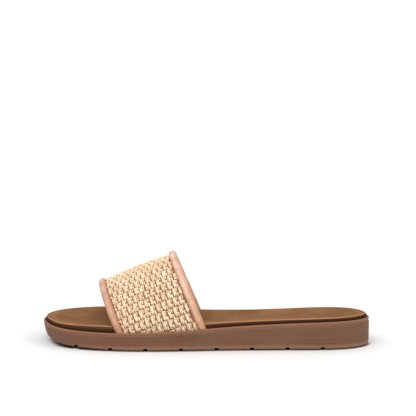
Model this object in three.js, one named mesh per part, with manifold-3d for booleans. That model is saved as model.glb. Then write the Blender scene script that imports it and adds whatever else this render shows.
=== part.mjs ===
// A woven slide sandal for the left foot: a moulded outsole with a raised rim, a wrapped footbed that
// sits inside the rim, one wide woven strap, and a rolled leather binding on each of its long edges.
// Millimetres, +Z up. The toe points along -X and the heel along +X. The outer side of the foot is at -Y.
// The underside of the sole lies on Z = 0, and the origin is under the middle of the sole.
import * as THREE from "three";
import { mergeVertices } from "three/addons/utils/BufferGeometryUtils.js";
import Module from "manifold-3d";

// Sizes of the sole
const LENGTH = 256;
const BALL_WIDTH = 93;
const WAIST_WIDTH = 57.8;
const HEEL_WIDTH = 57;
const TOE_HEIGHT = 12.9;
const HEEL_HEIGHT = 22;
const TOE_SPRING = 3.9;
const TOE_SLANT = 2.4;
const EDGE_ROUND = 3;
const RIM_WIDTH = 2.6;
const RIM_BEAD = 1.7;
const SEAM_DEPTH = 0.5;
const SEAT_DEPTH = 2.6;

// Tread grooves that run across the underside
const GROOVE_COUNT = 8;
const GROOVE_PITCH = 27.1;
const GROOVE_WIDTH = 3;
const GROOVE_DEPTH = 2.3;
const GROOVE_CENTRE = -2;

// Sizes of the footbed
const FOOTBED_INSET = 4;
const FOOTBED_TIP_INSET = 2.1;
const FOOTBED_PROUD = 5;
const FOOTBED_ROLL = 2;
const FOOTBED_DISH = 1.1;

// Sizes of the strap, which wraps the foot as a straight band with an axis that climbs to the instep
const STRAP_WIDTH = 66;
const STRAP_CLIMB = 22.7;
const STRAP_SKEW = 7.4;
const STRAP_FRONT = 43.9;
const TOE_CREST = 41.1;
const INSTEP_SWELL = 1.7;
const TOE_RIDGE = 7;
const INSTEP_RIDGE = 8;
const FULLNESS = 1.82;
const STRAP_INSET = 5.7;
const STRAP_TUCK = 7;
const STRAP_WALL = 2.3;
const MARGIN_SKIVE = 0.62;
const SKIVE_LENGTH = 8;

// The weave: stitches in rows along the strap's axis, each row half a stitch beside the last
const STITCHES_ACROSS = 12;
const ROW_LENGTH = 7.5;
const STITCH_RISE = 0.9;
const VALLEY_RISE = 0.2;
const SAMPLES_PER_ROW = 2;

// The rolled bindings, which fold round the strap's edges
const BINDING_WIDTH = 5.9;
const BINDING_RISE = 2.3;
const BINDING_SKIN = 0.8;
const FLANGE_WALL = 1.2;

// Clearance between neighbouring pieces
const GAP = 0.3;

// Outline of the sole: how far out each side lies at a station, as a share of the named width
const OUTLINE = [
  { at: 0.0, width: BALL_WIDTH, outer: 0.0, inner: 0.0 },
  { at: 0.018, width: BALL_WIDTH, outer: 0.194, inner: 0.213 },
  { at: 0.055, width: BALL_WIDTH, outer: 0.348, inner: 0.362 },
  { at: 0.11, width: BALL_WIDTH, outer: 0.433, inner: 0.456 },
  { at: 0.19, width: BALL_WIDTH, outer: 0.484, inner: 0.498 },
  { at: 0.28, width: BALL_WIDTH, outer: 0.5, inner: 0.494 },
  { at: 0.37, width: BALL_WIDTH, outer: 0.482, inner: 0.438 },
  { at: 0.46, width: BALL_WIDTH, outer: 0.447, inner: 0.35 },
  { at: 0.55, width: WAIST_WIDTH, outer: 0.65, inner: 0.45 },
  { at: 0.65, width: WAIST_WIDTH, outer: 0.59, inner: 0.397 },
  { at: 0.75, width: HEEL_WIDTH, outer: 0.547, inner: 0.436 },
  { at: 0.84, width: HEEL_WIDTH, outer: 0.508, inner: 0.491 },
  { at: 0.915, width: HEEL_WIDTH, outer: 0.44, inner: 0.468 },
  { at: 0.965, width: HEEL_WIDTH, outer: 0.31, inner: 0.34 },
  { at: 0.99, width: HEEL_WIDTH, outer: 0.166, inner: 0.17 },
  { at: 1.0, width: HEEL_WIDTH, outer: 0.0, inner: 0.0 },
];

// Side view of the sole: lift off the ground, wall height between toe and heel, and how far the
// footbed stands above the rim, each as a share of its named size
const SIDE = [
  { at: 0.0, lift: 1.0, wall: 0.0, proud: 0.68 },
  { at: 0.06, lift: 0.64, wall: 0.01, proud: 0.74 },
  { at: 0.12, lift: 0.34, wall: 0.04, proud: 0.88 },
  { at: 0.2, lift: 0.1, wall: 0.09, proud: 1.0 },
  { at: 0.28, lift: 0.0, wall: 0.14, proud: 0.99 },
  { at: 0.45, lift: 0.0, wall: 0.33, proud: 0.88 },
  { at: 0.6, lift: 0.0, wall: 0.63, proud: 0.71 },
  { at: 0.75, lift: 0.0, wall: 0.84, proud: 0.63 },
  { at: 0.9, lift: 0.0, wall: 0.965, proud: 0.61 },
  { at: 1.0, lift: 0.0, wall: 1.0, proud: 0.66 },
];

// Materials
const RUBBER = new THREE.MeshStandardMaterial({ color: 0x74503b, roughness: 0.75, metalness: 0 });
const SUEDE = new THREE.MeshStandardMaterial({ color: 0x7d5a3a, roughness: 0.85, metalness: 0 });
const RAFFIA = new THREE.MeshStandardMaterial({ color: 0xe8cfa6, roughness: 0.7, metalness: 0 });
const LEATHER = new THREE.MeshStandardMaterial({ color: 0xd0a08a, roughness: 0.55, metalness: 0 });

// Smooth value of one column of a table at a station, through its rows and level at each turn
function along(rows, column, at) {
  const last = rows.length - 1;
  const share = THREE.MathUtils.clamp(at, rows[0].at, rows[last].at);
  let i = 0;
  while (i < last - 1 && rows[i + 1].at < share) i += 1;
  const slope = (k) => {
    const a = rows[Math.max(k - 1, 0)];
    const b = rows[Math.min(k + 1, last)];
    const turns = (b[column] - rows[k][column]) * (rows[k][column] - a[column]) <= 0;
    return k > 0 && k < last && turns ? 0 : (b[column] - a[column]) / (b.at - a.at);
  };
  const span = rows[i + 1].at - rows[i].at;
  const t = (share - rows[i].at) / span;
  const start = rows[i][column] * (1 + 2 * t) * (1 - t) ** 2 + slope(i) * span * t * (1 - t) ** 2;
  const end = rows[i + 1][column] * t * t * (3 - 2 * t) - slope(i + 1) * span * t * t * (1 - t);
  return start + end;
}

// Heights over the ground at a place along the foot
const stationOf = (x) => x / LENGTH + 0.5;
const undersideAt = (x) => TOE_SPRING * along(SIDE, "lift", stationOf(x));
const wallAt = (x) => THREE.MathUtils.lerp(TOE_HEIGHT, HEEL_HEIGHT, along(SIDE, "wall", stationOf(x)));
const rimAt = (x) => undersideAt(x) + wallAt(x);
const seatAt = (x) => rimAt(x) - SEAT_DEPTH;
const footbedTopAt = (x) => rimAt(x) + FOOTBED_PROUD * along(SIDE, "proud", stationOf(x));

// The outline as a closed curve: from the toe tip along the outer side to the heel, and back inside
const RING_HALF = 48;
const edgePoint = (row, share) => new THREE.Vector3((row.at - 0.5) * LENGTH, share * row.width, 0);
const outerSide = OUTLINE.map((row) => edgePoint(row, -row.outer));
const innerSide = OUTLINE.map((row) => edgePoint(row, row.inner));
const outlineCurve = new THREE.CatmullRomCurve3(
  [...outerSide, ...innerSide.slice(1, -1).reverse()],
  true,
  "centripetal",
);
const outline = [];
for (let i = 0; i < 2 * RING_HALF; i += 1) {
  const point = outlineCurve.getPoint(i / (2 * RING_HALF));
  const tangent = outlineCurve.getTangent(i / (2 * RING_HALF));
  const outward = new THREE.Vector3(tangent.y, -tangent.x, 0).normalize();
  outline.push({ point, outward });
}

// One ring of points inside the outline, at a height that depends on the place along the foot. The
// inset may differ between the sides and the tips, and the toe may lean in.
function ring(sideInset, heightAt, { tipInset = sideInset, toeLean = 0 } = {}) {
  return outline.map(({ point, outward }) => {
    const sideways = Math.abs(outward.y);
    const toeward = Math.max(0, -outward.x);
    const inset = THREE.MathUtils.lerp(tipInset, sideInset, sideways) + toeLean * toeward;
    const moved = point.clone().addScaledVector(outward, -inset);
    moved.z = heightAt(moved.x);
    return moved;
  });
}

// A ring drawn towards the middle line of the foot, for the inside of a wide face
function drawnIn(from, share, heightAt) {
  const spineEnd = LENGTH / 2 - HEEL_WIDTH / 3;
  return from.map((point, i) => {
    const partner = from[(from.length - i) % from.length];
    const spineX = THREE.MathUtils.clamp(point.x, -spineEnd, spineEnd);
    const moved = new THREE.Vector3(
      THREE.MathUtils.lerp(point.x, spineX, share),
      THREE.MathUtils.lerp(point.y, (point.y + partner.y) / 2, share),
      0,
    );
    moved.z = heightAt(moved.x);
    return moved;
  });
}

function geometryFrom(points, triangles) {
  const geometry = new THREE.BufferGeometry();
  const flat = points.flatMap((p) => [p.x, p.y, p.z]);
  geometry.setAttribute("position", new THREE.Float32BufferAttribute(flat, 3));
  geometry.setIndex(triangles);
  return geometry;
}

// A closed skin over rings stacked from the underside to the top, closed across at both ends
function stacked(rings) {
  const count = rings[0].length;
  const triangles = [];
  for (let k = 0; k < rings.length - 1; k += 1) {
    for (let i = 0; i < count; i += 1) {
      const a = k * count + i;
      const b = k * count + ((i + 1) % count);
      triangles.push(a, b, b + count, a, b + count, a + count);
    }
  }
  const top = (rings.length - 1) * count;
  for (let i = 0; i < count / 2; i += 1) {
    const next = i + 1;
    const across = (count - i) % count;
    const acrossNext = count - next;
    if (next !== acrossNext) {
      triangles.push(top + i, top + next, top + acrossNext);
      triangles.push(i, acrossNext, next);
    }
    if (i !== across) {
      triangles.push(top + i, top + acrossNext, top + across);
      triangles.push(i, across, acrossNext);
    }
  }
  return geometryFrom(rings.flat(), triangles);
}

// Solids for cutting and joining
const wasm = await Module();
wasm.setup();

function solidOf(geometry) {
  const bare = geometry.clone();
  bare.deleteAttribute("normal");
  bare.deleteAttribute("uv");
  const merged = mergeVertices(bare, 1e-4);
  return new wasm.Manifold(
    new wasm.Mesh({
      numProp: 3,
      vertProperties: merged.getAttribute("position").array,
      triVerts: new Uint32Array(merged.index.array),
    }),
  );
}

function meshOf(name, solid, material) {
  const data = solid.getMesh();
  const geometry = new THREE.BufferGeometry();
  geometry.setAttribute("position", new THREE.BufferAttribute(data.vertProperties, 3));
  geometry.setIndex(new THREE.BufferAttribute(data.triVerts, 1));
  geometry.computeVertexNormals();
  const mesh = new THREE.Mesh(geometry, material);
  mesh.name = name;
  return mesh;
}

// The band of the strap. Its axis climbs from the toes to the instep and turns in a little, and each
// plane square to the axis holds one arch of the last, from the rim on one side to the rim on the other.
const climb = THREE.MathUtils.degToRad(STRAP_CLIMB);
const skew = THREE.MathUtils.degToRad(STRAP_SKEW);
const onward = new THREE.Vector3(Math.cos(skew), Math.sin(skew), 0);
const across = new THREE.Vector3(-Math.sin(skew), Math.cos(skew), 0);
const axis = onward.clone().multiplyScalar(Math.cos(climb)).setZ(Math.sin(climb));
const upright = new THREE.Vector3().crossVectors(axis, across);
const frontCrest = new THREE.Vector3(STRAP_FRONT - LENGTH / 2, TOE_RIDGE, TOE_CREST);

const strapLine = ring(STRAP_INSET, rimAt);
const outerLine = strapLine.slice(0, RING_HALF + 1);
const innerLine = [...strapLine.slice(RING_HALF), strapLine[0]].reverse();

// The point of a side's line where it crosses the plane through a crest point
function footOf(line, crest) {
  const height = (point) => axis.dot(point.clone().sub(crest));
  const i = line.findIndex((point, k) => k > 0 && height(line[k - 1]) < 0 && height(point) >= 0);
  const before = height(line[i - 1]);
  return line[i - 1].clone().lerp(line[i], before / (before - height(line[i])));
}

// The arch at a distance behind the front edge of the band: its crest, how far the crest lies across
// from the band's straight middle line, and for each side a path from the crest to the rim
const ARCH_STEPS = 60;
function archFrame(distance) {
  const share = distance / STRAP_WIDTH;
  const crest = frontCrest
    .clone()
    .addScaledVector(axis, distance)
    .addScaledVector(upright, 4 * INSTEP_SWELL * share * (1 - share));
  const shift = (THREE.MathUtils.lerp(TOE_RIDGE, INSTEP_RIDGE, share) - crest.y) / across.y;
  crest.addScaledVector(across, shift);
  const paths = [outerLine, innerLine].map((line) => {
    const foot = footOf(line, crest).sub(crest);
    const reach = foot.dot(across);
    const drop = foot.dot(upright);
    const path = [];
    for (let i = 0; i <= ARCH_STEPS; i += 1) {
      const angle = (i / ARCH_STEPS) * (Math.PI / 2);
      const out = Math.sin(angle) ** (2 / FULLNESS);
      const down = 1 - Math.cos(angle) ** (2 / FULLNESS);
      const point = new THREE.Vector2(reach * out, drop * down);
      const facing = new THREE.Vector2(
        (Math.sign(reach) * out ** (FULLNESS - 1)) / Math.abs(reach),
        (1 - down) ** (FULLNESS - 1) / Math.abs(drop),
      ).normalize();
      const length = i ? path[i - 1].length + point.distanceTo(path[i - 1].point) : 0;
      path.push({ point, facing, length });
    }
    return path;
  });
  return { crest, shift, paths };
}

// One arch as a function of a length measured from the middle line, below zero on the outer side
function archAt(distance) {
  const { crest, shift, paths } = archFrame(distance);
  const inSpace = (flat) => across.clone().multiplyScalar(flat.x).addScaledVector(upright, flat.y);
  return (length) => {
    const path = length < shift ? paths[0] : paths[1];
    const far = Math.abs(length - shift);
    const end = path[ARCH_STEPS];
    const beyond = far - end.length;
    let point;
    let facing;
    if (beyond >= 0) {
      point = end.point.clone().add(new THREE.Vector2(0, -beyond));
      facing = end.facing.clone();
    } else {
      const i = path.findIndex((step) => step.length > far);
      const t = (far - path[i - 1].length) / (path[i].length - path[i - 1].length);
      point = path[i - 1].point.clone().lerp(path[i].point, t);
      facing = path[i - 1].facing.clone().lerp(path[i].facing, t).normalize();
    }
    const thin = THREE.MathUtils.smoothstep(beyond, -SKIVE_LENGTH, 0);
    return {
      point: inSpace(point).add(crest),
      outward: inSpace(facing),
      thickness: THREE.MathUtils.lerp(1, MARGIN_SKIVE, thin),
    };
  };
}

// How far the band runs from the middle line down each side: whole rows, to below the deepest tuck
function runOn(side) {
  const lengths = [0, 0.5, 1].map((share) => {
    const { shift, paths } = archFrame(share * STRAP_WIDTH);
    return paths[side][ARCH_STEPS].length + (side ? shift : -shift);
  });
  const tucked = (STRAP_TUCK + EDGE_ROUND) / Math.cos(climb);
  return ROW_LENGTH * Math.ceil((Math.max(...lengths) + tucked) / ROW_LENGTH);
}
const outerRun = runOn(0);
const innerRun = runOn(1);

// A band swept over the arches. The section lists its corners round, looking along the sweep, each
// with a distance behind the band's front edge and a function of the length that gives its depth
// outward from the last. Each facet is split from front to rear, so neighbouring bands match.
function sweptBand(section) {
  const arches = section.map((corner) => archAt(corner.distance));
  const step = ROW_LENGTH / SAMPLES_PER_ROW;
  const stations = Math.round((outerRun + innerRun) / step);
  const points = [];
  for (let j = 0; j <= stations; j += 1) {
    const length = j * step - outerRun;
    section.forEach((corner, k) => {
      const place = arches[k](length);
      points.push(place.point.addScaledVector(place.outward, corner.depthAt(length) * place.thickness));
    });
  }
  const count = section.length;
  const triangles = [];
  for (let j = 0; j < stations; j += 1) {
    for (let k = 0; k < count; k += 1) {
      const a = j * count + k;
      const b = j * count + ((k + 1) % count);
      const rearward = section[k].distance <= section[(k + 1) % count].distance;
      const split = rearward ? [a, b + count] : [b, a + count];
      triangles.push(a, split[1], b, split[0], a + count, b + count);
    }
  }
  const flat = section.map((corner) => new THREE.Vector2(corner.distance, corner.depthAt(0)));
  const faces = THREE.ShapeUtils.triangulateShape(flat, []);
  const last = stations * count;
  faces.forEach(([a, b, c]) => {
    triangles.push(a, b, c);
    triangles.push(last + a, last + c, last + b);
  });
  return geometryFrom(points, triangles);
}

// Space under a height over the whole sole, for trimming what is tucked in
function spaceBelow(heightAt) {
  const spread = -2 * RIM_WIDTH;
  return solidOf(stacked([ring(spread, () => -LENGTH), ring(spread, heightAt)]));
}
const tuckSpace = (clearance) => spaceBelow((x) => rimAt(x) - STRAP_TUCK - clearance);

// The woven strap. Its field is raised in stitches, and a plain flange on each edge goes into the binding.
const fieldStart = BINDING_WIDTH + GAP;
const fieldEnd = STRAP_WIDTH - fieldStart;
const flangeEdge = BINDING_SKIN + 2 * GAP;
const flangeFloor = BINDING_SKIN + GAP;
const flangeTop = flangeFloor + FLANGE_WALL;
const level = (distance, depth) => ({ distance, depthAt: () => depth });

// Corners along a flat run of a section, close enough to follow the curve of the sole
const RUN_SPANS = 8;
function flatRun(from, to, depth) {
  const corners = [];
  for (let k = 0; k <= RUN_SPANS; k += 1) {
    corners.push(level(THREE.MathUtils.lerp(from, to, k / RUN_SPANS), depth));
  }
  return corners;
}

function stitchDepth(column, length) {
  const row = Math.round(length / ROW_LENGTH);
  const swell = Math.cos((length / ROW_LENGTH - row) * Math.PI);
  const raised = (column + row) % 2 === 0 ? 1 : 0;
  return STRAP_WALL + THREE.MathUtils.lerp(VALLEY_RISE, STITCH_RISE, swell * raised);
}

function strapSection() {
  const columns = 2 * STITCHES_ACROSS;
  const field = [];
  for (let k = 0; k <= columns; k += 1) {
    const distance = THREE.MathUtils.lerp(fieldStart, fieldEnd, k / columns);
    field.push({ distance, depthAt: (length) => stitchDepth(k, length) });
  }
  return [
    level(flangeEdge, flangeFloor),
    level(fieldStart, flangeFloor),
    ...flatRun(fieldStart, fieldEnd, 0),
    level(fieldEnd, flangeFloor),
    level(STRAP_WIDTH - flangeEdge, flangeFloor),
    level(STRAP_WIDTH - flangeEdge, flangeTop),
    level(fieldEnd, flangeTop),
    ...field.reverse(),
    level(fieldStart, flangeTop),
    level(flangeEdge, flangeTop),
  ];
}

// A binding: a folded skin with a rounded outer leg, a bend round the edge and a flat inner leg
const rollTop = STRAP_WALL + STITCH_RISE / 2 + BINDING_RISE;
const slotTop = flangeTop + GAP;
const BINDING_SECTION = [
  level(BINDING_WIDTH, 0),
  level(BINDING_WIDTH, BINDING_SKIN),
  level(BINDING_SKIN + GAP, BINDING_SKIN),
  level(BINDING_SKIN + GAP, slotTop),
  level(BINDING_WIDTH, slotTop),
  level(BINDING_WIDTH, rollTop - 0.3 * BINDING_WIDTH),
  level(0.82 * BINDING_WIDTH, rollTop - 0.07 * BINDING_WIDTH),
  level(0.55 * BINDING_WIDTH, rollTop),
  level(0.26 * BINDING_WIDTH, rollTop - 0.06 * BINDING_WIDTH),
  level(0.06 * BINDING_WIDTH, rollTop - 0.24 * BINDING_WIDTH),
  level(0, 0.45 * rollTop),
  level(0.06 * BINDING_WIDTH, 0.13 * rollTop),
  level(0.2 * BINDING_WIDTH, 0),
];
const mirrored = (section) =>
  section.map((corner) => ({ ...corner, distance: STRAP_WIDTH - corner.distance })).reverse();

// The room that the strap and its bindings need between rim and footbed, a gap larger all round
const ROOM_SECTION = [
  ...flatRun(-GAP, STRAP_WIDTH + GAP, -2 * GAP),
  ...flatRun(STRAP_WIDTH + GAP, -GAP, rollTop + 2 * GAP),
];

const trimmed = (section) => solidOf(sweptBand(section)).subtract(tuckSpace(0));
const strap = trimmed(strapSection());
const bindingFront = trimmed(BINDING_SECTION);
const bindingRear = trimmed(mirrored(BINDING_SECTION));
const strapRoom = solidOf(sweptBand(ROOM_SECTION)).subtract(tuckSpace(GAP));

// The outsole: a round lower edge, a plain wall, a seam under a rim bead, and a seat inside the rim
function outsoleBody() {
  const up = (share) => (x) => undersideAt(x) + share;
  const under = (drop) => (x) => rimAt(x) - drop;
  const lean = (share) => ({ toeLean: TOE_SLANT * share });
  const tipWidth = FOOTBED_TIP_INSET - 2 * GAP;
  const rim = (share, heightAt) => ring(RIM_WIDTH * share, heightAt, { tipInset: tipWidth * share });
  return solidOf(
    stacked([
      ring(EDGE_ROUND, up(0), lean(1)),
      ring(0.42 * EDGE_ROUND, up(0.2 * EDGE_ROUND), lean(0.95)),
      ring(0.1 * EDGE_ROUND, up(0.65 * EDGE_ROUND), lean(0.85)),
      ring(0, up(1.3 * EDGE_ROUND), lean(0.7)),
      ring(0, under(2 * RIM_BEAD), lean(0.15)),
      ring(SEAM_DEPTH, under(1.5 * RIM_BEAD), lean(0.08)),
      ring(SEAM_DEPTH, under(1.2 * RIM_BEAD), lean(0.04)),
      ring(0, under(0.75 * RIM_BEAD)),
      rim(0.15, under(0.2 * RIM_BEAD)),
      rim(0.4, under(0)),
      rim(0.8, under(0.05 * RIM_BEAD)),
      rim(1, under(0.3 * RIM_BEAD)),
      rim(1, seatAt),
    ]),
  );
}

// A tread groove, wider at its mouth, at a place along the foot
function treadGroove(x) {
  const half = GROOVE_WIDTH / 2;
  const shape = new THREE.Shape();
  shape.moveTo(-1.2 * half, -GROOVE_DEPTH);
  shape.lineTo(1.2 * half, -GROOVE_DEPTH);
  shape.lineTo(1.2 * half, 0);
  shape.lineTo(half, GROOVE_DEPTH);
  shape.lineTo(-half, GROOVE_DEPTH);
  shape.lineTo(-1.2 * half, 0);
  shape.closePath();
  const geometry = new THREE.ExtrudeGeometry(shape, { depth: 2 * BALL_WIDTH, bevelEnabled: false });
  geometry.rotateX(Math.PI / 2);
  geometry.translate(x, BALL_WIDTH, undersideAt(x));
  return solidOf(geometry);
}

let outsole = outsoleBody().subtract(strapRoom);
for (let i = 0; i < GROOVE_COUNT; i += 1) {
  const x = GROOVE_CENTRE + (i - (GROOVE_COUNT - 1) / 2) * GROOVE_PITCH;
  outsole = outsole.subtract(treadGroove(x));
}

// The footbed: a board with a rolled top edge and a shallow dish, notched where the strap goes down
function footbedBody() {
  const edge = (extra, heightAt) =>
    ring(FOOTBED_INSET + extra, heightAt, { tipInset: FOOTBED_TIP_INSET + extra });
  const below = (drop) => (x) => footbedTopAt(x) - drop;
  const flat = edge(1.6 * FOOTBED_ROLL, below(0.1 * FOOTBED_DISH));
  return solidOf(
    stacked([
      edge(0.3 * FOOTBED_ROLL, (x) => seatAt(x) + GAP),
      edge(0, (x) => seatAt(x) + GAP + 0.3 * FOOTBED_ROLL),
      edge(0, below(FOOTBED_ROLL)),
      edge(0.16 * FOOTBED_ROLL, below(0.45 * FOOTBED_ROLL)),
      edge(0.5 * FOOTBED_ROLL, below(0.12 * FOOTBED_ROLL)),
      edge(FOOTBED_ROLL, below(0)),
      flat,
      drawnIn(flat, 0.3, below(0.7 * FOOTBED_DISH)),
      drawnIn(flat, 0.65, below(FOOTBED_DISH)),
    ]),
  );
}
const footbed = footbedBody().subtract(strapRoom);

const sandal = new THREE.Group();
sandal.add(meshOf("outsole", outsole, RUBBER));
sandal.add(meshOf("footbed", footbed, SUEDE));
sandal.add(meshOf("strap", strap, RAFFIA));
sandal.add(meshOf("binding_front", bindingFront, LEATHER));
sandal.add(meshOf("binding_rear", bindingRear, LEATHER));

export default sandal;
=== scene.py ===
"""Dresses the slide sandal: materials on the moulded sole and the footbed, a woven raffia strap,
rolled leather bindings, and a pale stage with the photograph's camera. Blender works in metres; the
sizes of the strap are in millimetres, as a maker writes them."""

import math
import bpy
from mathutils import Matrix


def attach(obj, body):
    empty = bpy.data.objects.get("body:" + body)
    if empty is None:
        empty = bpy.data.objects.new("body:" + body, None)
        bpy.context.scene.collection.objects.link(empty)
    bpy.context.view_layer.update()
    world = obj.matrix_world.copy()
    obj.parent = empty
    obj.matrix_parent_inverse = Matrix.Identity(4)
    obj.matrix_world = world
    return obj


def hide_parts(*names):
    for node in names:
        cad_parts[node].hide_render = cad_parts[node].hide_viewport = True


bl_info = {
    "name": "Slide sandal dresser",
    "version": (1, 0, 0),
    "blender": (4, 5, 0),
    "location": "3D View > Sidebar > Sandal",
    "description": "Weaves the strap, rolls its bindings, dresses the sole and sets the stage",
    "category": "Object",
}

import bpy
import numpy as np
from mathutils import Vector

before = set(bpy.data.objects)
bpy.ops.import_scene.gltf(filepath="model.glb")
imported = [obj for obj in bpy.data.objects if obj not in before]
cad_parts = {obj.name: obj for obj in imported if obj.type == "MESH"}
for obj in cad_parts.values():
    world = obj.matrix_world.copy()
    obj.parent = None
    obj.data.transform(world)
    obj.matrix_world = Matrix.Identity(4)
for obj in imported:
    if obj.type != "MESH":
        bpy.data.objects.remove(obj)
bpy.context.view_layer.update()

MM = 0.001

# Sizes of the strap's band, as in the part's source
LENGTH = 256.0
STRAP_WIDTH = 66.0
STRAP_CLIMB = 22.7
STRAP_SKEW = 7.4
STRAP_FRONT = 43.9
TOE_CREST = 41.1
TOE_RIDGE = 7.0
INSTEP_RIDGE = 8.0
INSTEP_SWELL = 1.7
FULLNESS = 1.82
STRAP_WALL = 2.3
STITCH_RISE = 0.9
MARGIN_SKIVE = 0.62
SKIVE_LENGTH = 8.0
BINDING_WIDTH = 5.9
BINDING_RISE = 2.3
BINDING_SKIN = 0.8
TUCK = 6.3
GAP = 0.3
ROLL_TOP = STRAP_WALL + STITCH_RISE / 2 + BINDING_RISE

# Depths over the last at which the lining begins and ends and the strands begin
LINING_LOW = 0.75 * GAP
LINING_TOP = 1.25
WEAVE_FLOOR = 1.15

# How much the rows of stitches slant, in mm of length for each mm across the band
ROW_SLANT = -0.05

# Zigzag tread of the underside: from rib to rib, and half a zigzag's width
RIB_PITCH = 3.0
RIB_TURN = 6.0

# Angle in degrees from which an edge of a CAD solid stays sharp
SHARP_EDGE = 38.0

# The photograph is this many pixels wide, and its camera is shifted by these pixels
PICTURE = 416
SHIFT = (2.5, 108.0)

# How far out and down the rim lies from the crest of the arch, across the band from front to rear
ARCHES = [
    {"at": 0.0, "outer_reach": -49.38, "outer_drop": -29.33,
     "inner_reach": 32.58, "inner_drop": -29.25},
    {"at": 1 / 6, "outer_reach": -50.05, "outer_drop": -34.67,
     "inner_reach": 32.26, "inner_drop": -34.88},
    {"at": 2 / 6, "outer_reach": -49.76, "outer_drop": -39.40,
     "inner_reach": 30.57, "inner_drop": -39.78},
    {"at": 3 / 6, "outer_reach": -48.90, "outer_drop": -43.73,
     "inner_reach": 27.43, "inner_drop": -44.12},
    {"at": 4 / 6, "outer_reach": -47.67, "outer_drop": -47.59,
     "inner_reach": 23.27, "inner_drop": -48.03},
    {"at": 5 / 6, "outer_reach": -46.16, "outer_drop": -50.95,
     "inner_reach": 18.29, "inner_drop": -51.45},
    {"at": 1.0, "outer_reach": -44.42, "outer_drop": -53.72,
     "inner_reach": 13.97, "inner_drop": -54.30},
]

# Height of the rim over the ground along the foot, in millimetres, for what follows the rim
RIM = [
    {"at": 0.0, "height": 16.8},
    {"at": 0.06, "height": 15.5},
    {"at": 0.12, "height": 14.6},
    {"at": 0.2, "height": 14.1},
    {"at": 0.28, "height": 14.2},
    {"at": 0.45, "height": 15.9},
    {"at": 0.6, "height": 18.6},
    {"at": 0.75, "height": 20.5},
    {"at": 0.9, "height": 21.7},
    {"at": 1.0, "height": 22.0},
]


def column(rows, name):
    """One column of a table, as an array."""
    return np.array([row[name] for row in rows])


def smooth_column(rows, name, at, degree=5):
    """Value of a table's column at places between its rows, along one smooth curve."""
    return np.polyval(np.polyfit(column(rows, "at"), column(rows, name), degree), at)


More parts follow.
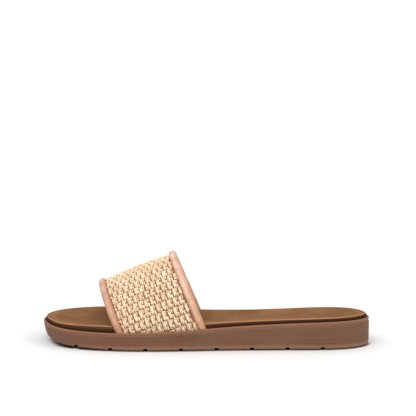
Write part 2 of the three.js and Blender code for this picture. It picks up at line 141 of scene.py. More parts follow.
class Band:
    """The strap's band: turns a distance behind its front edge, a length from its middle line
    (below zero on the outer side of the foot) and a depth over the last into a place."""

    STEP = 0.5
    OUTER = -112.0
    INNER = 96.0
    ARC_POINTS = 241

    def __init__(self):
        climb, skew = math.radians(STRAP_CLIMB), math.radians(STRAP_SKEW)
        self.axis = np.array(
            [math.cos(climb) * math.cos(skew), math.cos(climb) * math.sin(skew), math.sin(climb)]
        )
        self.across = np.array([-math.sin(skew), math.cos(skew), 0.0])
        self.upright = np.cross(self.axis, self.across)
        self.places = np.linspace(0.0, STRAP_WIDTH, 2 * int(STRAP_WIDTH) + 1)
        self.lengths = np.arange(self.OUTER, self.INNER + self.STEP, self.STEP)
        shape = (len(self.places), len(self.lengths), 3)
        self.points, self.facings = np.zeros(shape), np.zeros(shape)
        self.thickness = np.ones(shape[:2])
        self.feet = np.zeros((len(self.places), 2))
        for row, distance in enumerate(self.places):
            self.fill(row, distance)

    def fill(self, row, distance):
        """Works out one row of the band: its arch over the foot and its feet down the rim."""
        share = distance / STRAP_WIDTH
        crest = np.array([STRAP_FRONT - LENGTH / 2, TOE_RIDGE, TOE_CREST]) + self.axis * distance
        crest = crest + self.upright * 4 * INSTEP_SWELL * share * (1 - share)
        ridge = TOE_RIDGE + (INSTEP_RIDGE - TOE_RIDGE) * share
        shift = (ridge - crest[1]) / self.across[1]
        crest = crest + self.across * shift
        for side, name in enumerate(("outer", "inner")):
            reach = smooth_column(ARCHES, name + "_reach", share)
            drop = smooth_column(ARCHES, name + "_drop", share)
            angle = np.linspace(0.0, math.pi / 2, self.ARC_POINTS)
            out = np.sin(angle) ** (2 / FULLNESS)
            down = 1 - np.maximum(np.cos(angle), 0.0) ** (2 / FULLNESS)
            path = np.stack([reach * out, drop * down], 1)
            facing = np.stack(
                [
                    math.copysign(1, reach) * out ** (FULLNESS - 1) / abs(reach),
                    (1 - down) ** (FULLNESS - 1) / abs(drop),
                ],
                1,
            )
            facing /= np.linalg.norm(facing, axis=1)[:, None]
            spans = np.linalg.norm(np.diff(path, axis=0), axis=1)
            run = np.concatenate([[0.0], np.cumsum(spans)])
            wanted = (self.lengths - shift) * (-1 if side == 0 else 1)
            here = wanted >= 0
            far = np.minimum(wanted[here], run[-1])
            beyond = np.maximum(wanted[here] - run[-1], 0.0)
            flat = np.stack([np.interp(far, run, path[:, k]) for k in (0, 1)], 1)
            flat[:, 1] -= beyond
            face = np.stack([np.interp(far, run, facing[:, k]) for k in (0, 1)], 1)
            face /= np.linalg.norm(face, axis=1)[:, None]
            spot = flat[:, :1] * self.across + flat[:, 1:] * self.upright
            self.points[row, here] = crest + spot
            self.facings[row, here] = face[:, :1] * self.across + face[:, 1:] * self.upright
            thin = np.clip((wanted[here] - run[-1] + SKIVE_LENGTH) / SKIVE_LENGTH, 0, 1)
            thin = thin * thin * (3 - 2 * thin)
            self.thickness[row, here] = 1 + (MARGIN_SKIVE - 1) * thin
            self.feet[row, side] = (-1 if side == 0 else 1) * run[-1] + shift

    def foot(self, distance, side):
        """Length at which the band reaches the rim, on the outer side (0) or the inner side (1)."""
        return np.interp(distance, self.places, self.feet[:, side])

    def place(self, distance, length, depth):
        """Points for equal arrays of distance, length and depth, in millimetres."""
        distance, length, depth = np.broadcast_arrays(distance, length, depth)
        u = np.clip(distance / STRAP_WIDTH, 0, 1) * (len(self.places) - 1)
        v = (np.clip(length, self.OUTER, self.INNER) - self.OUTER) / self.STEP
        i = np.minimum(u.astype(int), len(self.places) - 2)
        j = np.minimum(v.astype(int), len(self.lengths) - 2)
        s, t = (u - i)[..., None], (v - j)[..., None]

        def between(grid):
            near = grid[i, j] * (1 - t) + grid[i, j + 1] * t
            far = grid[i + 1, j] * (1 - t) + grid[i + 1, j + 1] * t
            return near * (1 - s) + far * s

        facing = between(self.facings)
        facing = facing / np.linalg.norm(facing, axis=-1, keepdims=True)
        thick = between(self.thickness[..., None])
        return between(self.points) + facing * thick * depth[..., None]


band = Band()


def mesh_object(name, points, faces):
    """A new smooth-shaded object from points in millimetres."""
    mesh = bpy.data.meshes.new(name)
    mesh.from_pydata((np.asarray(points) * MM).tolist(), [], faces)
    mesh.validate()
    mesh.polygons.foreach_set("use_smooth", [True] * len(mesh.polygons))
    mesh.update()
    piece = bpy.data.objects.new(name, mesh)
    bpy.context.scene.collection.objects.link(piece)
    return piece


def finish_piece(piece, look, node):
    """Give a new piece its look, let it ride on the part and stand for a CAD node."""
    piece.data.materials.append(look)
    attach(piece, "root")
    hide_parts(node)


class Look:
    """A procedural material under construction, with short words for the nodes it needs."""

    def __init__(self, name, roughness, coat=0.0, sheen=0.0, specular=0.5):
        self.material = bpy.data.materials.new(name)
        self.material.use_nodes = True
        self.tree = self.material.node_tree
        self.shader = self.tree.nodes["Principled BSDF"]
        self.shader.inputs["Roughness"].default_value = roughness
        self.shader.inputs["Coat Weight"].default_value = coat
        self.shader.inputs["Sheen Weight"].default_value = sheen
        self.shader.inputs["Specular IOR Level"].default_value = specular

    def node(self, kind, **settings):
        made = self.tree.nodes.new("ShaderNode" + kind)
        for name, value in settings.items():
            setattr(made, name, value)
        return made

    def link(self, source, target):
        self.tree.links.new(source, target)

    def coordinates(self):
        return self.node("TexCoord").outputs["Object"]

    def parts(self, vector):
        """The X, Y and Z of a vector, as outputs by name."""
        split = self.node("SeparateXYZ")
        self.link(vector, split.inputs["Vector"])
        return split.outputs

    def facing(self):
        """Which way the surface looks: 1 straight up, 0 sideways and -1 straight down."""
        return self.parts(self.node("NewGeometry").outputs["Normal"])["Z"]

    def stretched(self, source, scale):
        mapping = self.node("Mapping")
        mapping.inputs["Scale"].default_value = scale
        self.link(source, mapping.inputs["Vector"])
        return mapping.outputs["Vector"]

    def noise(self, source, scale, detail=3.0, roughness=0.5, warp=0.0):
        made = self.node("TexNoise")
        made.inputs["Scale"].default_value = scale
        made.inputs["Detail"].default_value = detail
        made.inputs["Roughness"].default_value = roughness
        made.inputs["Distortion"].default_value = warp
        self.link(source, made.inputs["Vector"])
        return made.outputs["Fac"]

    def maths(self, operation, first, second=None):
        made = self.node("Math", operation=operation)
        for socket, value in zip(made.inputs, (first, second)):
            if value is None:
                continue
            if isinstance(value, (int, float)):
                socket.default_value = value
            else:
                self.link(value, socket)
        return made.outputs["Value"]

    def between(self, value, low, high):
        """0 below low, 1 above high and smooth between them."""
        made = self.node("MapRange", interpolation_type="SMOOTHSTEP")
        made.inputs["From Min"].default_value = low
        made.inputs["From Max"].default_value = high
        self.link(value, made.inputs["Value"])
        return made.outputs["Result"]

    def ramp(self, value, stops):
        made = self.node("ValToRGB")
        ends = made.color_ramp.elements
        while len(ends) < len(stops):
            ends.new(0.5)
        for end, (place, colour) in zip(ends, stops):
            end.position = place
            end.color = (*colour, 1.0)
        self.link(value, made.inputs["Fac"])
        return made.outputs["Color"]

    def mix(self, share, first, second):
        made = self.node("Mix", data_type="RGBA")
        self.link(share, made.inputs["Factor"])
        for socket, value in ((made.inputs[6], first), (made.inputs[7], second)):
            if isinstance(value, tuple):
                socket.default_value = (*value, 1.0)
            else:
                self.link(value, socket)
        return made.outputs[2]

    def times(self, first, second):
        made = self.node("Mix", data_type="RGBA", blend_type="MULTIPLY")
        made.inputs["Factor"].default_value = 1.0
        self.link(first, made.inputs[6])
        self.link(second, made.inputs[7])
        return made.outputs[2]

    def colour(self, source):
        self.link(source, self.shader.inputs["Base Color"])

    def rough(self, source, low, high):
        """Roughness that goes from low to high as the source goes from 0 to 1."""
        made = self.node("MapRange")
        made.inputs["To Min"].default_value = low
        made.inputs["To Max"].default_value = high
        self.link(source, made.inputs["Value"])
        self.link(made.outputs["Result"], self.shader.inputs["Roughness"])

    def bump(self, height, strength, depth_mm):
        """Adds a bump on top of those the look has."""
        made = self.node("Bump")
        made.inputs["Strength"].default_value = strength
        made.inputs["Distance"].default_value = depth_mm * MM
        last = self.shader.inputs["Normal"]
        if last.is_linked:
            self.link(last.links[0].from_socket, made.inputs["Normal"])
        self.link(height, made.inputs["Height"])
        self.link(made.outputs["Normal"], last)

    def below_rim(self):
        """How far a point lies below the rim of the sole and over the ground, in millimetres."""
        place = self.parts(self.coordinates())
        station = self.maths("MULTIPLY_ADD", place["X"], 1 / MM / LENGTH)
        station.node.inputs[2].default_value = 0.5
        low, high = column(RIM, "height").min(), column(RIM, "height").max()
        curve = self.node("FloatCurve")
        line = curve.mapping.curves[0]
        rows = [(row["at"], (row["height"] - low) / (high - low)) for row in RIM]
        line.points[0].location, line.points[1].location = rows[0], rows[-1]
        for row in rows[1:-1]:
            line.points.new(*row)
        curve.mapping.update()
        self.link(station, curve.inputs["Value"])
        rim = self.maths("MULTIPLY_ADD", curve.outputs["Value"], high - low)
        rim.node.inputs[2].default_value = low
        height = self.maths("MULTIPLY", place["Z"], 1 / MM)
        return self.maths("SUBTRACT", rim, height), height


def soften(piece):
    """Smooth shading on a CAD node, with its real edges kept."""
    mesh = piece.data
    mesh.polygons.foreach_set("use_smooth", [True] * len(mesh.polygons))
    mesh.set_sharp_from_angle(angle=math.radians(SHARP_EDGE))
    weighted = piece.modifiers.new("even_normals", "WEIGHTED_NORMAL")
    weighted.keep_sharp = True


def dress(node, look):
    """Give a CAD node its look as it stands."""
    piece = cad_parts[node]
    piece.data.materials.clear()
    piece.data.materials.append(look)
    soften(piece)


class SoleSettings(bpy.types.PropertyGroup):
    grain: bpy.props.FloatProperty(
        name="Grain", description="Depth of the brushed grain", default=1.0, min=0.0, soft_max=2.0
    )
    # Painted light: how much paler the rubber is made towards the ground
    low_side_light: bpy.props.FloatProperty(
        name="Low_side_light", description="Paler rubber near the ground", default=1.0, min=0.0, soft_max=1.3
    )


class SANDAL_OT_dress_outsole(bpy.types.Operator):
    """Give the outsole its foamed rubber: a brushed side, a painted highlight along the rim and a
    zigzag tread
    """

    bl_idname = "sandal.dress_outsole"
    bl_label = "Dress outsole"

    def execute(self, context):
        settings = context.scene.sandal_sole
        look = Look("outsole_rubber", roughness=0.62, specular=0.15)
        points = look.coordinates()
        below, height = look.below_rim()
        streaks = look.noise(look.stretched(points, (9.0, 9.0, 900.0)), 1.0, 4.0, 0.6, 0.3)
        fine = look.noise(look.stretched(points, (60.0, 60.0, 2600.0)), 1.0, 2.0)
        patches = look.noise(points, 22.0, 2.0)
        side = look.ramp(
            streaks,
            [
                (0.30, (0.112, 0.05, 0.026)),
                (0.50, (0.146, 0.068, 0.037)),
                (0.70, (0.185, 0.093, 0.054)),
            ],
        )
        side = look.mix(look.between(patches, 0.35, 0.7), side, (0.16, 0.082, 0.048))
        # Painted highlight: the rim's rounded top edge made paler, where light would catch it
        rim_highlight = look.between(below, 1.5, 0.5)
        side = look.mix(look.maths("MULTIPLY", rim_highlight, 0.75), side, (0.28, 0.13, 0.062))
        # Painted light: a paler band just under the rim's highlight, against the shade in that
        # hollow
        light_band_start, light_band_end = look.between(below, 0.9, 1.4), look.between(below, 2.0, 3.0)
        light_band = look.maths("SUBTRACT", light_band_start, light_band_end)
        side = look.mix(look.maths("MULTIPLY", light_band, 0.6), side, (0.29, 0.14, 0.082))
        # Painted light: the side paler over its lowest few millimetres, towards the ground
        lower = look.between(height, 5.5, 1.0)
        painted_low_light = look.maths("MULTIPLY", lower, 0.75 * settings.low_side_light)
        side = look.mix(painted_low_light, side, (0.37, 0.196, 0.117))
        underside = look.between(look.facing(), -0.5, -0.9)
        place = look.parts(points)
        zigzag = look.maths("ADD", place["X"], look.maths("PINGPONG", place["Y"], RIB_TURN * MM))
        ribs = look.maths("SINE", look.maths("MULTIPLY", zigzag, 2 * math.pi / (RIB_PITCH * MM)))
        tread = look.maths("MULTIPLY", look.between(ribs, -0.6, 0.2), underside)
        look.colour(look.mix(underside, side, (0.1, 0.045, 0.026)))
        look.rough(fine, 0.5, 0.72)
        look.bump(streaks, 0.35 * settings.grain, 0.5)
        look.bump(fine, 0.25, 0.2)
        look.bump(tread, 0.8, 0.5)
        dress("outsole", look.material)
        return {"FINISHED"}


class SANDAL_OT_dress_footbed(bpy.types.Operator):
    """Wrap the footbed in suede, with a painted highlight along its rolled edge and painted shade
    down its side and at the heel
    """

    bl_idname = "sandal.dress_footbed"
    bl_label = "Dress footbed"

    def execute(self, context):
        look = Look("footbed_suede", roughness=0.88, sheen=0.02, specular=0.05)
        points = look.coordinates()
        below, _ = look.below_rim()
        above = look.maths("MULTIPLY", below, -1.0)
        nap = look.noise(points, 420.0, 3.0, 0.6)
        clouds = look.noise(points, 38.0, 3.0, 0.55)
        top = look.ramp(
            clouds,
            [
                (0.32, (0.18, 0.077, 0.025)),
                (0.50, (0.215, 0.096, 0.034)),
                (0.68, (0.256, 0.119, 0.046)),
            ],
        )
        # Painted shade: the side much darker than the top and darkest towards the rim, over a
        # leather a little darker and redder than the top's
        side = look.mix(look.between(above, 0.4, 3.6), (0.045, 0.018, 0.009), (0.095, 0.038, 0.02))
        # Painted shade: the top darker towards the heel
        heel_shade = look.between(look.parts(points)["X"], 0.03, 0.11)
        top = look.times(top, look.mix(heel_shade, (1.0, 1.0, 1.0), (0.88, 0.86, 0.83)))
        facing = look.facing()
        facing_up = look.between(facing, 0.5, 0.66)
        body = look.mix(facing_up, side, top)
        # Painted highlight: a paler line along the rolled edge, where it turns from the top to the
        # side
        edge = look.maths("MULTIPLY", facing_up, look.between(facing, 0.998, 0.95))
        body = look.mix(look.maths("MULTIPLY", edge, 0.7), body, (0.4, 0.21, 0.1))
        look.colour(body)
        look.rough(nap, 0.8, 0.95)
        look.bump(nap, 0.5, 0.25)
        look.bump(clouds, 0.2, 0.6)
        dress("footbed", look.material)
        return {"FINISHED"}


class WeaveSettings(bpy.types.PropertyGroup):
    stitches_across: bpy.props.FloatProperty(
        name="Stitches across", description="Stitches in a row", default=11.6, min=4.0
    )
    crest_row: bpy.props.FloatProperty(
        name="Crest row", description="Length of a row on the ridge", default=0.0052, unit="LENGTH"
    )
    row_growth: bpy.props.FloatProperty(
        name="Row growth",
        description="Share by which each row is longer than the one above it",
        default=0.034,
        min=0.001,
    )
    rows_a_side: bpy.props.IntProperty(
        name="Rows a side", description="Rows from the ridge to the rim", default=14, min=1
    )
    strand_width: bpy.props.FloatProperty(
        name="Strand width", description="Width of a strand", default=0.0019, unit="LENGTH"
    )
    strand_rise: bpy.props.FloatProperty(
        name="Strand rise", description="Height of a strand", default=0.00175, unit="LENGTH"
    )
    seed: bpy.props.IntProperty(
        name="Seed", description="Seed of the small irregularities", default=7
    )

    def row_place(self, row):
        """How far a row lies from the ridge, in millimetres. Rows grow longer down the sides."""
        far = self.crest_row / MM / self.row_growth * (math.exp(self.row_growth * abs(row)) - 1)
        return math.copysign(far, row)


# Cross-sections along a strand, and corners of each
STRAND_RINGS = 7
STRAND_CORNERS = 6


def strand(path, width, floor, rise):
    """One plump strand over the band, as the points of a tube with two closed ends. path holds
    three (distance, length) places that it bends through."""
    rings, corners = STRAND_RINGS, STRAND_CORNERS
    share = np.linspace(0.0, 1.0, rings)[:, None]
    start, middle, end = (np.array(place) for place in path)
    through = 2 * middle - (start + end) / 2
    centre = start * (1 - share) ** 2 + through * 2 * share * (1 - share) + end * share**2
    direction = end - start
    sideways = np.array([-direction[1], direction[0]]) / np.hypot(*direction)
    swell = np.clip(1 - np.abs(2 * share - 1) ** 2.4, 0.0, 1.0) ** 0.5
    angle = (np.arange(corners) + 0.5) / corners * 2 * math.pi
    spread = width / 2 * np.cos(angle)[None, :] * (0.3 + 0.7 * swell)
    flat = centre[:, None, :] + spread[..., None] * sideways
    lift = floor + rise * (0.25 + 0.75 * swell) * (0.5 + 0.5 * np.sin(angle)[None, :])
    return band.place(flat[..., 0], flat[..., 1], lift).reshape(-1, 3)


def tube_faces(rings, corners, start=0):
    """Faces of a tube with two closed ends, whose points begin at a number."""
    faces = []
    for i in range(rings - 1):
        for k in range(corners):
            a, b = start + i * corners + k, start + i * corners + (k + 1) % corners
            faces.append((a, b, b + corners, a + corners))
    faces.append(tuple(start + k for k in reversed(range(corners))))
    faces.append(tuple(start + (rings - 1) * corners + k for k in range(corners)))
    return faces


def swept(name, section, stations):
    """A piece with one (distance, depth) section along the whole band, from tuck to tuck."""
    share = np.linspace(0.0, 1.0, stations)
    grid = np.zeros((stations, len(section), 3))
    for k, (distance, depth) in enumerate(section):
        low, high = band.foot(distance, 0) - TUCK, band.foot(distance, 1) + TUCK
        grid[:, k] = band.place(distance, low + (high - low) * share, depth)
    return mesh_object(name, grid.reshape(-1, 3), tube_faces(stations, len(section)))


# The strands of one stitch, in stitch widths and row lengths from its upper corner: three places
# that each bends through, its width and rise as shares of a strand's, and how pale it is
STITCH = [
    {"from": (0.20, 0.00), "by": (0.18, 0.46), "to": (0.17, 0.94),
     "width": 0.74, "rise": 0.94, "pale": 0.78},
    {"from": (0.46, -0.03), "by": (0.41, 0.46), "to": (0.42, 0.94),
     "width": 0.8, "rise": 1.04, "pale": 0.86},
    {"from": (0.76, -0.02), "by": (0.75, 0.14), "to": (0.67, 0.46),
     "width": 0.7, "rise": 0.94, "pale": 0.78},
    {"from": (0.62, 0.52), "by": (0.72, 0.76), "to": (0.72, 1.02),
     "width": 0.74, "rise": 1.04, "pale": 0.86},
    {"from": (0.34, 0.62), "by": (0.66, 0.61), "to": (1.04, 0.64),
     "width": 0.52, "rise": 0.98, "pale": 0.76},
    {"from": (0.03, 0.11), "by": (0.48, 0.06), "to": (0.97, 0.11),
     "width": 0.54, "rise": 1.14, "pale": 0.84},
]

# Small irregularities of the weave, as standard deviations: stitch widths that a row is out of
# place, stitch widths that a stitch leans over a row, millimetres that a stitch is out of place
# across and along the band, millimetres that each bend of a strand is, and shades of paleness
ROW_WANDER = 0.05
LEAN = 0.04
STITCH_WANDER = (0.06, 0.08)
BEND_WANDER = (0.05, 0.06)
STITCH_SHADE = 0.03
STRAND_SHADE = 0.08

# A strand's paleness lost from its start to its end
FADE = 0.1

# Strands are this share wider on the ridge, and as wide as elsewhere from this many mm down
RIDGE_PLUMPNESS = 0.1
RIDGE_REACH = 40


class SANDAL_OT_weave_strap(bpy.types.Operator):
    """Weave the strap from raffia strands over a thin lining, each row half a stitch aside"""

    bl_idname = "sandal.weave_strap"
    bl_label = "Weave strap"

    def raffia(self):
        """Straw with a soft gloss, fibres along each strand, and blotches: its own mottling with
        painted tiny shadows and glints.
        """
        look = Look("raffia", roughness=0.5, sheen=0.1, specular=0.4)
        tone = look.node("Attribute", attribute_name="pale").outputs["Fac"]
        along = look.node("UVMap", uv_map="along").outputs["UV"]
        fibres = look.noise(look.stretched(along, (2.0, 16.0, 1.0)), 1.0, 3.0, 0.6)
        straw = look.ramp(
            tone,
            [
                (0.0, (0.36, 0.19, 0.11)),
                (0.4, (0.6, 0.4, 0.26)),
                (0.7, (0.78, 0.58, 0.38)),
                (1.0, (0.93, 0.8, 0.62)),
            ],
        )
        # Blotches: the straw's own mottling, with dark spots that are painted tiny shadows between
        # fibres and spots that lift the straw above its own colour as painted glints
        blotches = look.noise(look.stretched(along, (4.0, 5.0, 1.0)), 1.0, 1.0, 0.5)
        mottle_shadows_and_glints = look.ramp(
            blotches,
            [
                (0.30, (0.45, 0.3, 0.2)),
                (0.44, (0.98, 0.95, 0.9)),
                (0.65, (1.12, 1.12, 1.12)),
            ],
        )
        look.colour(look.times(straw, mottle_shadows_and_glints))
        look.rough(fibres, 0.62, 0.42)
        look.bump(fibres, 0.6, 0.25)
        return look.material

    def weave(self, settings):
        """All the strands, joined in one piece, each with its own paleness and fibres."""
        rng = np.random.default_rng(settings.seed)
        start, end = BINDING_WIDTH + GAP, STRAP_WIDTH - BINDING_WIDTH - GAP
        pitch = (end - start) / settings.stitches_across
        share = np.linspace(0, 1, STRAND_RINGS)
        turn_share = np.arange(STRAND_CORNERS) / STRAND_CORNERS
        points, faces, tones, uvs, count = [], [], [], [], 0
        for row in range(-settings.rows_a_side, settings.rows_a_side + 1):
            offset = (0.0 if row % 2 == 0 else 0.5) + rng.normal(0, ROW_WANDER)
            for stitch in range(-1, int(settings.stitches_across) + 2):
                across, lean = (stitch + offset) * pitch, rng.normal(0, LEAN)
                across += rng.normal(0, STITCH_WANDER[0])
                drop = rng.normal(0, STITCH_WANDER[1])
                shade = rng.normal(0, STITCH_SHADE)
                for fibre in STITCH:
                    path = []
                    for place in ("from", "by", "to"):
                        x, y = fibre[place]
                        x = start + across + pitch * (x - lean * y) + rng.normal(0, BEND_WANDER[0])
                        y = settings.row_place(row + y) + drop + ROW_SLANT * (x - STRAP_WIDTH / 2)
                        path.append((x, -y + rng.normal(0, BEND_WANDER[1])))
                    middle = path[1][0]
                    if not start - 0.1 < middle < end + 0.1:
                        continue
                    low, high = band.foot(middle, 0) - TUCK, band.foot(middle, 1) + TUCK
                    ends = [place[1] for place in path]
                    if min(ends) < low or max(ends) > high:
                        continue
                    width = settings.strand_width / MM * fibre["width"] * rng.uniform(0.9, 1.1)
                    width *= 1 + RIDGE_PLUMPNESS * max(0.0, 1 - abs(path[1][1]) / RIDGE_REACH)
                    rise = settings.strand_rise / MM * fibre["rise"] * rng.uniform(0.92, 1.08)
                    body = strand(path, width, WEAVE_FLOOR, rise)
                    points.append(body)
                    faces.extend(tube_faces(STRAND_RINGS, STRAND_CORNERS, count))
                    count += len(body)
                    pale = fibre["pale"] + shade + rng.normal(0.0, STRAND_SHADE) - FADE * share
                    tones.extend(np.repeat(np.clip(pale, 0, 1), STRAND_CORNERS))
                    u, v = np.meshgrid(share, turn_share, indexing="ij")
                    shift = rng.uniform(0, 50)
                    uvs.append(np.stack([u.ravel() + shift, v.ravel() + shift], 1))
        piece = mesh_object("raffia_weave", np.concatenate(points), faces)
        paleness = piece.data.attributes.new("pale", "FLOAT", "POINT")
        paleness.data.foreach_set("value", np.array(tones, dtype=np.float32))
        layer = piece.data.uv_layers.new(name="along")
        corner = np.zeros(len(piece.data.loops), dtype=np.int32)
        piece.data.loops.foreach_get("vertex_index", corner)
        layer.data.foreach_set("uv", np.concatenate(uvs)[corner].astype(np.float32).ravel())
        return piece

    def backing(self):
        """Brown cloth of fine threads, which shows between the strands and inside, darkened as
        painted shade for the gaps.
        """
        look = Look("strap_lining", roughness=0.9, specular=0.2)
        threads = look.noise(look.coordinates(), 900.0, 2.0)
        # The cloth's own brown, made darker as painted shade where it shows between the strands
        cloth_and_gap_shade = [(0.35, (0.19, 0.078, 0.039)), (0.65, (0.47, 0.245, 0.142))]
        look.colour(look.ramp(threads, cloth_and_gap_shade))
        look.bump(threads, 0.5, 0.2)
        return look.material

    def lining(self):
        """A thin sheet of cloth under the whole weave."""
        across = np.linspace(BINDING_SKIN + GAP, STRAP_WIDTH - BINDING_SKIN - GAP, 61)
        under = [(distance, LINING_LOW) for distance in across]
        over = [(distance, LINING_TOP) for distance in across[::-1]]
        return swept("strap_lining", under + over, 161)

    def execute(self, context):
        settings = context.scene.sandal_weave
        finish_piece(self.weave(settings), self.raffia(), "strap")
        finish_piece(self.lining(), self.backing(), "strap")
        return {"FINISHED"}


class BindingSettings(bpy.types.PropertyGroup):
    grain: bpy.props.FloatProperty(
        name="Grain", description="Depth of the leather's grain", default=1.0, min=0.0, soft_max=3.0
    )


# Outer line of a rolled binding from the weave round the edge to the inner leg: place across the
# binding and depth, as shares of its width and of its rolled height
ROLL = [
    {"across": 1.0, "depth": 0.42},
    {"across": 1.0, "depth": 0.62},
    {"across": 0.93, "depth": 0.84},
    {"across": 0.78, "depth": 0.96},
    {"across": 0.55, "depth": 1.0},
    {"across": 0.32, "depth": 0.97},
    {"across": 0.14, "depth": 0.85},
    {"across": 0.03, "depth": 0.62},
    {"across": 0.0, "depth": 0.4},
    {"across": 0.03, "depth": 0.2},
    {"across": 0.12, "depth": 0.05},
    {"across": 0.26, "depth": 0.0},
]


class SANDAL_OT_bind_edges(bpy.types.Operator):
    """Roll a leather binding round each long edge of the strap"""

    bl_idname = "sandal.bind_edges"
    bl_label = "Bind edges"

    def roll(self, name, front):
        """One binding, with a value round its section that the leather's shading follows."""
        spans = len(ROLL) - 1
        share = np.linspace(0.0, spans, 3 * spans + 1)
        places = np.interp(share, range(len(ROLL)), column(ROLL, "across")) * BINDING_WIDTH
        depths = np.interp(share, range(len(ROLL)), column(ROLL, "depth")) * ROLL_TOP
        for _ in range(2):
            places[1:-1] = (places[:-2] + 2 * places[1:-1] + places[2:]) / 4
            depths[1:-1] = (depths[:-2] + 2 * depths[1:-1] + depths[2:]) / 4
        section = list(zip(places, depths)) + [
            (BINDING_WIDTH * 0.94, 0.0),
            (BINDING_WIDTH, 0.15),
            (BINDING_WIDTH, BINDING_SKIN),
        ]
        if not front:
            section = [(STRAP_WIDTH - place, depth) for place, depth in reversed(section)]
        stations = 141
        piece = swept(name, section, stations)
        around = np.linspace(0.0, 1.0, len(section))
        if not front:
            around = around[::-1]
        turns = piece.data.attributes.new("around", "FLOAT", "POINT")
        turns.data.foreach_set("value", np.tile(around, stations).astype(np.float32))
        return piece

    def execute(self, context):
        settings = context.scene.sandal_binding
        look = Look("binding_leather", roughness=0.5, coat=0.05, specular=0.4)
        points = look.coordinates()
        grain = look.node("TexVoronoi", feature="SMOOTH_F1")
        grain.inputs["Scale"].default_value = 1500.0
        look.link(points, grain.inputs["Vector"])
        clouds = look.noise(points, 150.0, 4.0, 0.6)
        # Round the section: a painted shadow on the edge beside the weave, a painted highlight
        # along the top of the roll, and painted light on the inner leg, which lies in shade
        leather = look.ramp(
            look.node("Attribute", attribute_name="around").outputs["Fac"],
            [
                (0.0, (0.33, 0.17, 0.09)),
                (0.1, (0.42, 0.22, 0.13)),
                (0.22, (0.48, 0.265, 0.165)),
                (0.34, (0.59, 0.36, 0.25)),
                (0.5, (0.45, 0.24, 0.145)),
                (0.75, (0.5, 0.27, 0.16)),
                (0.9, (0.9, 0.56, 0.38)),
            ],
        )
        clouded = look.ramp(
            clouds,
            [
                (0.34, (0.84, 0.8, 0.77)),
                (0.50, (1.0, 1.0, 1.0)),
                (0.66, (1.1, 1.14, 1.16)),
            ],
        )
        place = look.parts(points)
        # Painted light: both bindings paler upwards
        upward = look.between(place["Z"], 0.016, 0.058)
        # Painted light: the rear binding paler than the front one
        rearward = look.between(place["X"], -0.05, -0.035)
        top_light = look.mix(upward, (0.92, 0.83, 0.74), (1.12, 1.17, 1.22))
        rear_light = look.mix(rearward, (0.95, 0.92, 0.9), (1.08, 1.11, 1.13))
        look.colour(look.times(look.times(leather, clouded), look.times(top_light, rear_light)))
        look.rough(clouds, 0.42, 0.58)
        look.bump(grain.outputs["Distance"], 0.3 * settings.grain, 0.15)
        look.bump(clouds, 0.2, 0.4)
        for name, node, front in (
            ("front_binding", "binding_front", True),
            ("rear_binding", "binding_rear", False),
        ):
            finish_piece(self.roll(name, front), look.material, node)
        return {"FINISHED"}


class StageSettings(bpy.types.PropertyGroup):
    azimuth: bpy.props.FloatProperty(
        name="Azimuth",
        description="Camera's turn to the heel side",
        default=math.radians(4.7),
        subtype="ANGLE",
    )
    elevation: bpy.props.FloatProperty(
        name="Elevation",
        description="Camera's height over the ground",
        default=math.radians(10.8),
        subtype="ANGLE",
    )
    distance: bpy.props.FloatProperty(
        name="Distance", description="From the camera to its aim", default=1.6, unit="LENGTH"
    )
    lens: bpy.props.FloatProperty(
        name="Lens", description="Focal length", default=176.36, unit="CAMERA"
    )
    key: bpy.props.FloatProperty(
        name="Key", description="Power of the key light", default=7.0, min=0.0, unit="POWER"
    )
    fill: bpy.props.FloatProperty(
        name="Fill", description="Power of the fill light", default=2.0, min=0.0, unit="POWER"
    )


# The soft lights, each a rectangle: its place and its size, in metres
LIGHTS = [
    {"name": "key", "place": (-0.35, -0.9, 1.1), "size": (0.9, 0.7)},
    {"name": "fill", "place": (0.9, -0.6, 0.7), "size": (0.8, 0.6)},
]
LIGHT_AIM = (0.0, 0.0, 0.03)
CAMERA_AIM = (0.0, 0.0, 0.02)

# Half the floor's side, in millimetres
FLOOR_HALF = 9000.0


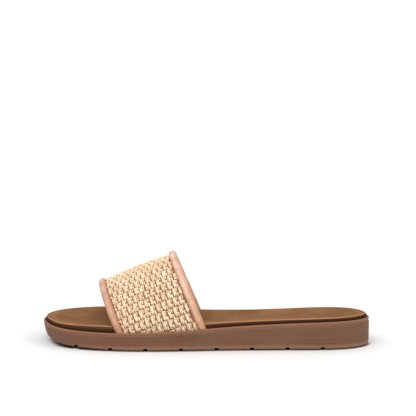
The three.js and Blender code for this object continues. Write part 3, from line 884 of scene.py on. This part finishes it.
class SANDAL_OT_set_stage(bpy.types.Operator):
    """Lay the pale floor, hang the soft lights and aim the camera as in the photograph"""

    bl_idname = "sandal.set_stage"
    bl_label = "Set stage"

    def floor(self):
        """A white floor with a painted contact shadow where something stands on it, glowing from
        0.1 m out as painted light.
        """
        far = FLOOR_HALF
        corners = [(-far, -far, 0), (far, -far, 0), (far, far, 0), (-far, far, 0)]
        floor = mesh_object("floor", corners, [(0, 1, 2, 3)])
        look = Look("floor", roughness=1.0, specular=0.0)
        # Painted shadow: the floor darkens by ambient occlusion where something stands on it
        contact_shade = look.node("AmbientOcclusion", samples=16)
        contact_shade.inputs["Distance"].default_value = 0.0035
        shades = [(0.3, (0.14, 0.14, 0.13)), (0.66, (0.5, 0.5, 0.49)), (0.86, (0.8, 0.8, 0.8))]
        look.colour(look.ramp(contact_shade.outputs["AO"], shades))
        look.shader.inputs["Emission Color"].default_value = (1.0, 1.0, 1.0, 1.0)
        away = look.node("VectorMath", operation="LENGTH")
        look.link(look.coordinates(), away.inputs[0])
        # Painted light: the floor glows from 0.1 m out, whitening it and lighting out the shadows
        # there
        glow = look.maths("MULTIPLY", look.between(away.outputs["Value"], 0.1, 0.35), 0.3)
        glow = look.maths("MULTIPLY", glow, contact_shade.outputs["AO"])
        look.link(glow, look.shader.inputs["Emission Strength"])
        floor.data.materials.append(look.material)

    def light(self, row, power):
        data = bpy.data.lights.new(row["name"], "AREA")
        data.shape = "RECTANGLE"
        data.size, data.size_y = row["size"]
        data.energy = power
        lamp = bpy.data.objects.new(row["name"], data)
        lamp.location = row["place"]
        beam = Vector(LIGHT_AIM) - Vector(row["place"])
        lamp.rotation_euler = beam.to_track_quat("-Z", "Y").to_euler()
        bpy.context.scene.collection.objects.link(lamp)

    def execute(self, context):
        settings = context.scene.sandal_stage
        scene = context.scene
        scene.view_settings.view_transform = "Standard"
        scene.view_settings.look = "None"
        self.floor()

        world = bpy.data.worlds.new("studio")
        world.use_nodes = True
        sky = world.node_tree.nodes["Background"]
        sky.inputs["Color"].default_value = (1.0, 1.0, 1.0, 1.0)
        sky.inputs["Strength"].default_value = 1.0
        scene.world = world

        for row in LIGHTS:
            self.light(row, getattr(settings, row["name"]))

        turn, rise = settings.azimuth, settings.elevation
        away = Vector(
            (math.sin(turn) * math.cos(rise), -math.cos(turn) * math.cos(rise), math.sin(rise))
        )
        data = bpy.data.cameras.new("camera")
        data.sensor_width = 36.0
        data.lens = settings.lens
        data.shift_x, data.shift_y = SHIFT[0] / PICTURE, SHIFT[1] / PICTURE
        data.clip_end = 50.0
        camera = bpy.data.objects.new("camera", data)
        camera.location = Vector(CAMERA_AIM) + away * settings.distance
        camera.rotation_euler = (-away).to_track_quat("-Z", "Y").to_euler()
        scene.collection.objects.link(camera)
        scene.camera = camera
        return {"FINISHED"}


class SANDAL_PT_tools(bpy.types.Panel):
    """The sandal's tools in the sidebar"""

    bl_idname = "SANDAL_PT_tools"
    bl_label = "Slide sandal"
    bl_space_type = "VIEW_3D"
    bl_region_type = "UI"
    bl_category = "Sandal"

    def draw(self, context):
        layout = self.layout
        scene = context.scene
        for settings, operators in (
            (scene.sandal_sole, ("sandal.dress_outsole", "sandal.dress_footbed")),
            (scene.sandal_weave, ("sandal.weave_strap",)),
            (scene.sandal_binding, ("sandal.bind_edges",)),
            (scene.sandal_stage, ("sandal.set_stage",)),
        ):
            box = layout.box()
            for name in settings.__annotations__:
                box.prop(settings, name)
            for operator in operators:
                box.operator(operator)


CLASSES = (
    SoleSettings,
    WeaveSettings,
    BindingSettings,
    StageSettings,
    SANDAL_OT_dress_outsole,
    SANDAL_OT_dress_footbed,
    SANDAL_OT_weave_strap,
    SANDAL_OT_bind_edges,
    SANDAL_OT_set_stage,
    SANDAL_PT_tools,
)


def register():
    for made in CLASSES:
        bpy.utils.register_class(made)
    bpy.types.Scene.sandal_sole = bpy.props.PointerProperty(type=SoleSettings)
    bpy.types.Scene.sandal_weave = bpy.props.PointerProperty(type=WeaveSettings)
    bpy.types.Scene.sandal_binding = bpy.props.PointerProperty(type=BindingSettings)
    bpy.types.Scene.sandal_stage = bpy.props.PointerProperty(type=StageSettings)


def unregister():
    for name in ("sandal_stage", "sandal_binding", "sandal_weave", "sandal_sole"):
        delattr(bpy.types.Scene, name)
    for made in reversed(CLASSES):
        bpy.utils.unregister_class(made)


def main():
    register()
    bpy.ops.sandal.set_stage()
    bpy.ops.sandal.dress_outsole()
    bpy.ops.sandal.dress_footbed()
    bpy.ops.sandal.weave_strap()
    bpy.ops.sandal.bind_edges()


if __name__ == "__main__":
    main()
